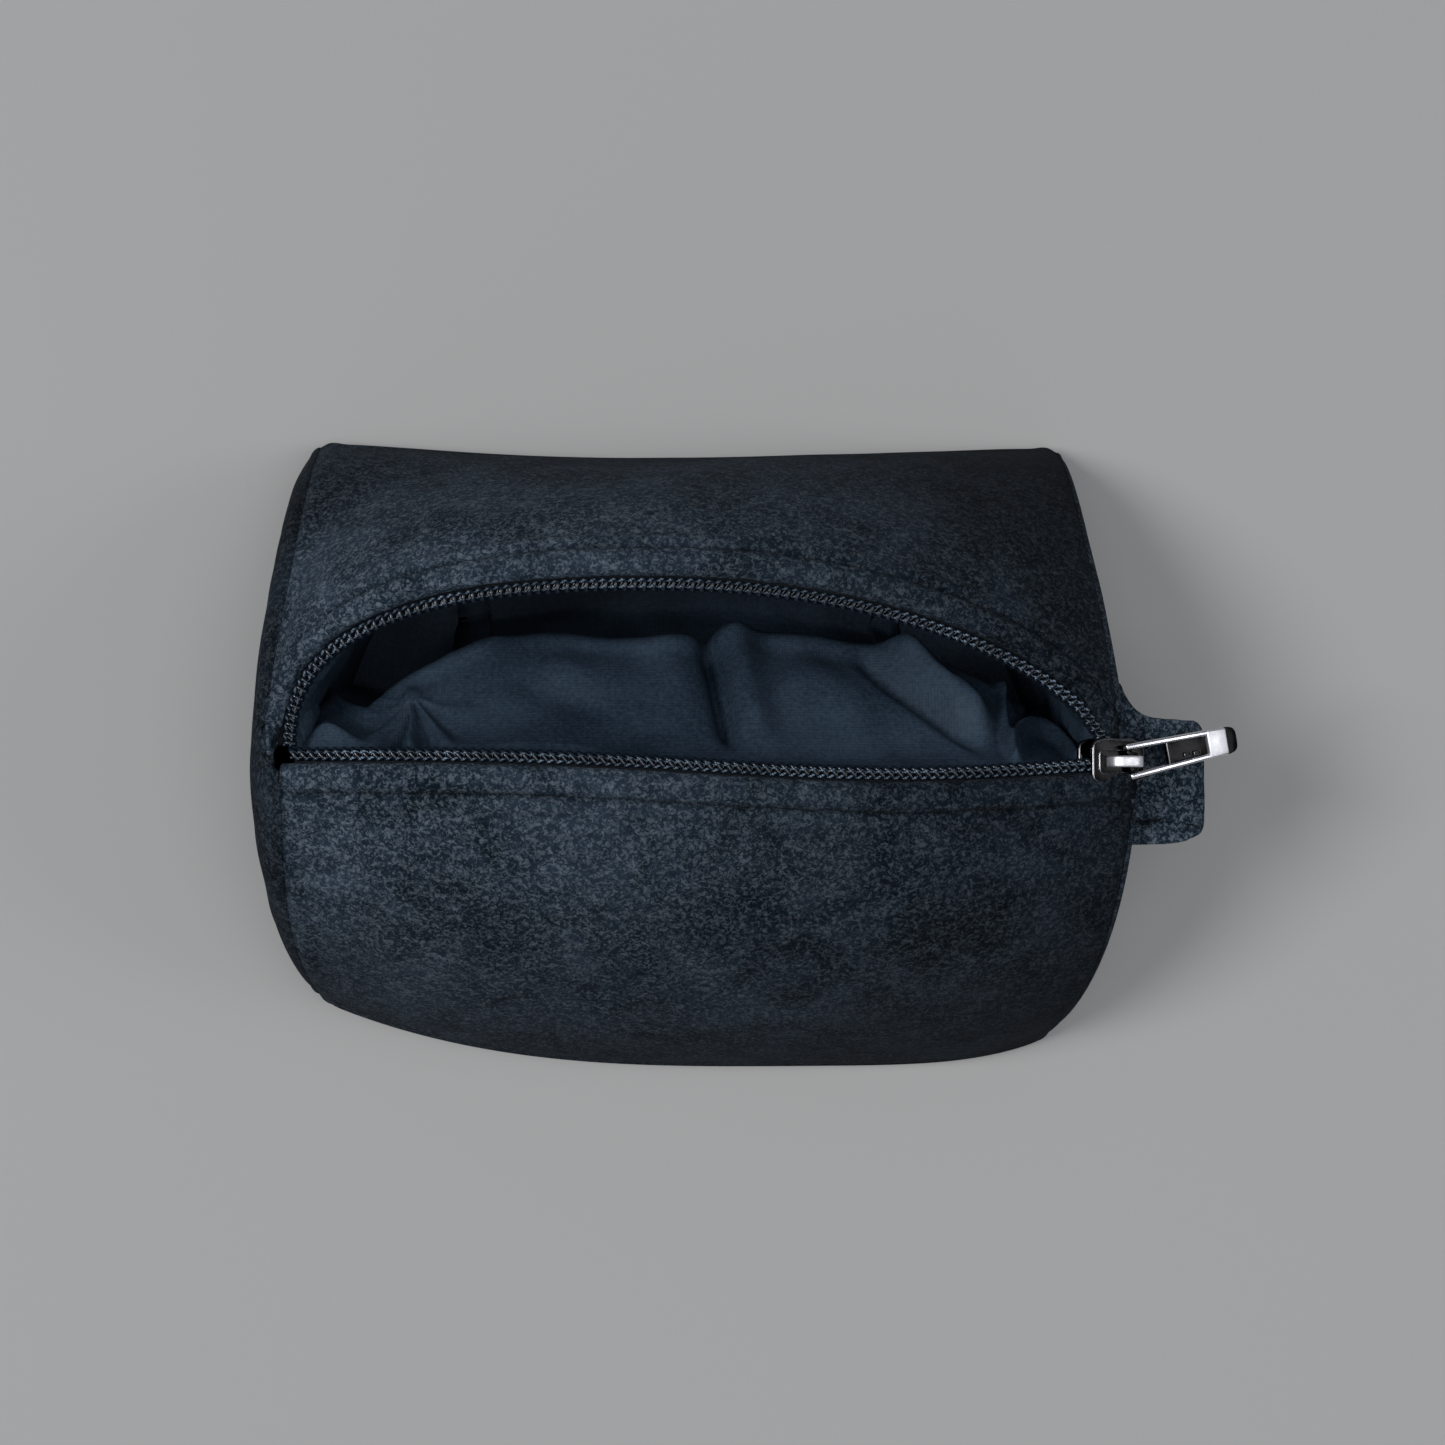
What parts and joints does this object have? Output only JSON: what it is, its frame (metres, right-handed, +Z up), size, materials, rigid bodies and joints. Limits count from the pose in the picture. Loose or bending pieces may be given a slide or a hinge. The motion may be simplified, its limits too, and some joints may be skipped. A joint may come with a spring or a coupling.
{
  "type": "makeup bag",
  "caption": "Boxy zip makeup bag in soft black cloth, lined, with an arched coil zipper standing open, a metal slider and pull, and a side tab loop.",
  "frame": {"origin": "middle of the base, on the surface that the bag stands on", "axes": "+X along the zipper to the end where the slider waits when the bag is open, +Y from the front to the back, +Z up"},
  "size_m": [0.1711, 0.1183, 0.0705],
  "materials": {
    "outer_cloth": "soft brushed nap, matte, charcoal black",
    "lining_cloth": "smooth plain weave, faintly satin, blue-black",
    "interlining": "soft white fleece, hidden",
    "zipper_tape": "woven polyester tape, black",
    "zipper_coil": "black nylon, half gloss",
    "thread": "black polyester thread",
    "slider_metal": "dark gunmetal plating, glossy, bright on its edges"
  },
  "bodies": {
    "root": {"front_outer_panel": "outer_cloth", "back_outer_panel": "outer_cloth", "base_outer_panel": "outer_cloth", "left_end_panel": "outer_cloth", "right_end_panel": "outer_cloth", "side_tab_loop": "outer_cloth", "front_interlining": "interlining", "back_interlining": "interlining", "base_interlining": "interlining", "front_lining": "lining_cloth", "back_lining": "lining_cloth", "base_lining": "lining_cloth", "left_end_lining": "lining_cloth", "right_end_lining": "lining_cloth", "front_topstitching": "thread", "back_topstitching": "thread", "front_zipper_tape": "zipper_tape", "front_zipper_coil": "zipper_coil"},
    "back_row": {"back_zipper_tape": "zipper_tape", "back_zipper_coil": "zipper_coil"},
    "slider": {"slider_body": "slider_metal", "slider_bridge": "slider_metal"},
    "pull": {"slider_pull": "slider_metal"}
  },
  "joints": [
    {"name": "slider_travel", "type": "hinge", "parent": "root", "child": "slider", "pos_m": [0, -0.0015, -0.137], "axis": [0, -1, 0], "range_deg": [0, 37.97]},
    {"name": "pull_swing", "type": "hinge", "parent": "slider", "child": "pull", "pos_m": [0.07263, -0.0015, 0.05962], "axis": [0.1795, -0.9816, -0.0648], "range_deg": [0, 160]},
    {"name": "mouth_close", "type": "slide", "parent": "root", "child": "back_row", "axis": [0, -1, 0], "range_m": [0, 0.028], "deforming": ["back_zipper_tape", "back_zipper_coil"]}
  ],
  "couplings": [
    {"joint": "mouth_close", "follows": "slider_travel", "m_per_rad": 0.041804}
  ]
}
